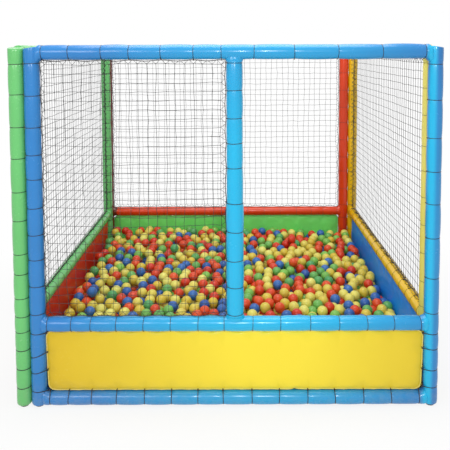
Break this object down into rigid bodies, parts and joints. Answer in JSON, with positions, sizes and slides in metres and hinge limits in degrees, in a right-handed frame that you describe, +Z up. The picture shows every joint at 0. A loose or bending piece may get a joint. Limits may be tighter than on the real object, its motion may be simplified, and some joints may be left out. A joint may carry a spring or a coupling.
{
  "type": "ball pit",
  "caption": "Square indoor ball pit of padded tube frames, nets above and padded panels below, one half of the front left open as the way in, filled with play balls.",
  "frame": {"origin": "on the floor, under the middle of the pit's bounding box", "axes": "+Z up; the front, with the way in, faces -Y; +X to the right seen from the front"},
  "size_m": [2.3704, 2.3704, 2.024],
  "materials": {
    "blue_vinyl": "gloss",
    "yellow_vinyl": "gloss",
    "red_vinyl": "gloss",
    "green_vinyl": "gloss",
    "yellow_panel": "satin",
    "blue_panel": "satin",
    "green_panel": "satin",
    "red_panel": "satin",
    "net_cord": "matte",
    "steel": "satin",
    "foot_rubber": "matte",
    "bolt_zinc": "satin",
    "mat_vinyl": "satin",
    "ball_red": "gloss",
    "ball_yellow": "gloss",
    "ball_green": "gloss",
    "ball_blue": "gloss"
  },
  "bodies": {
    "pit": {"front_steel_frame": "steel", "front_first_post_sleeve": "blue_vinyl", "front_second_post_sleeve": "blue_vinyl", "front_centre_post_sleeve": "blue_vinyl", "front_top_beam_sleeve": "blue_vinyl", "front_mid_rail_sleeve": "blue_vinyl", "front_bottom_rail_sleeve": "blue_vinyl", "front_first_post_foot": "foot_rubber", "front_second_post_foot": "foot_rubber", "front_panel": "yellow_panel", "front_net": "net_cord", "right_steel_frame": "steel", "right_first_post_sleeve": "yellow_vinyl", "right_second_post_sleeve": "yellow_vinyl", "right_top_beam_sleeve": "yellow_vinyl", "right_mid_rail_sleeve": "yellow_vinyl", "right_bottom_rail_sleeve": "yellow_vinyl", "right_first_post_foot": "foot_rubber", "right_second_post_foot": "foot_rubber", "right_panel": "blue_panel", "right_net": "net_cord", "back_steel_frame": "steel", "back_first_post_sleeve": "red_vinyl", "back_second_post_sleeve": "red_vinyl", "back_top_beam_sleeve": "red_vinyl", "back_mid_rail_sleeve": "red_vinyl", "back_bottom_rail_sleeve": "red_vinyl", "back_first_post_foot": "foot_rubber", "back_second_post_foot": "foot_rubber", "back_panel": "green_panel", "back_net": "net_cord", "left_steel_frame": "steel", "left_first_post_sleeve": "green_vinyl", "left_second_post_sleeve": "green_vinyl", "left_top_beam_sleeve": "green_vinyl", "left_mid_rail_sleeve": "green_vinyl", "left_bottom_rail_sleeve": "green_vinyl", "left_first_post_foot": "foot_rubber", "left_second_post_foot": "foot_rubber", "left_panel": "red_panel", "left_net": "net_cord", "front_left_bolt": "bolt_zinc", "front_right_bolt": "bolt_zinc", "back_right_bolt": "bolt_zinc", "back_left_bolt": "bolt_zinc", "floor_mat_front_left": "mat_vinyl", "floor_mat_front_right": "mat_vinyl", "floor_mat_back_left": "mat_vinyl", "floor_mat_back_right": "mat_vinyl", "ball_filling": "ball_red"},
    "loose_ball_1_red": {"loose_ball_1_red": "ball_red"},
    "loose_ball_2_yellow": {"loose_ball_2_yellow": "ball_yellow"},
    "loose_ball_3_green": {"loose_ball_3_green": "ball_green"},
    "loose_ball_4_blue": {"loose_ball_4_blue": "ball_blue"},
    "loose_ball_5_red": {"loose_ball_5_red": "ball_red"},
    "loose_ball_6_yellow": {"loose_ball_6_yellow": "ball_yellow"}
  },
  "joints": [
    {"name": "ball_1_lift", "type": "slide", "parent": "pit", "child": "loose_ball_1_red", "axis": [0, 0, 1], "range_m": [0, 1.85]},
    {"name": "ball_2_lift", "type": "slide", "parent": "pit", "child": "loose_ball_2_yellow", "axis": [0, 0, 1], "range_m": [0, 1.85]},
    {"name": "ball_3_lift", "type": "slide", "parent": "pit", "child": "loose_ball_3_green", "axis": [0, 0, 1], "range_m": [0, 1.85]},
    {"name": "ball_4_lift", "type": "slide", "parent": "pit", "child": "loose_ball_4_blue", "axis": [0, 0, 1], "range_m": [0, 1.85]},
    {"name": "ball_5_lift", "type": "slide", "parent": "pit", "child": "loose_ball_5_red", "axis": [0, 0, 1], "range_m": [0, 1.85]},
    {"name": "ball_6_lift", "type": "slide", "parent": "pit", "child": "loose_ball_6_yellow", "axis": [0, 0, 1], "range_m": [0, 1.85]}
  ]
}
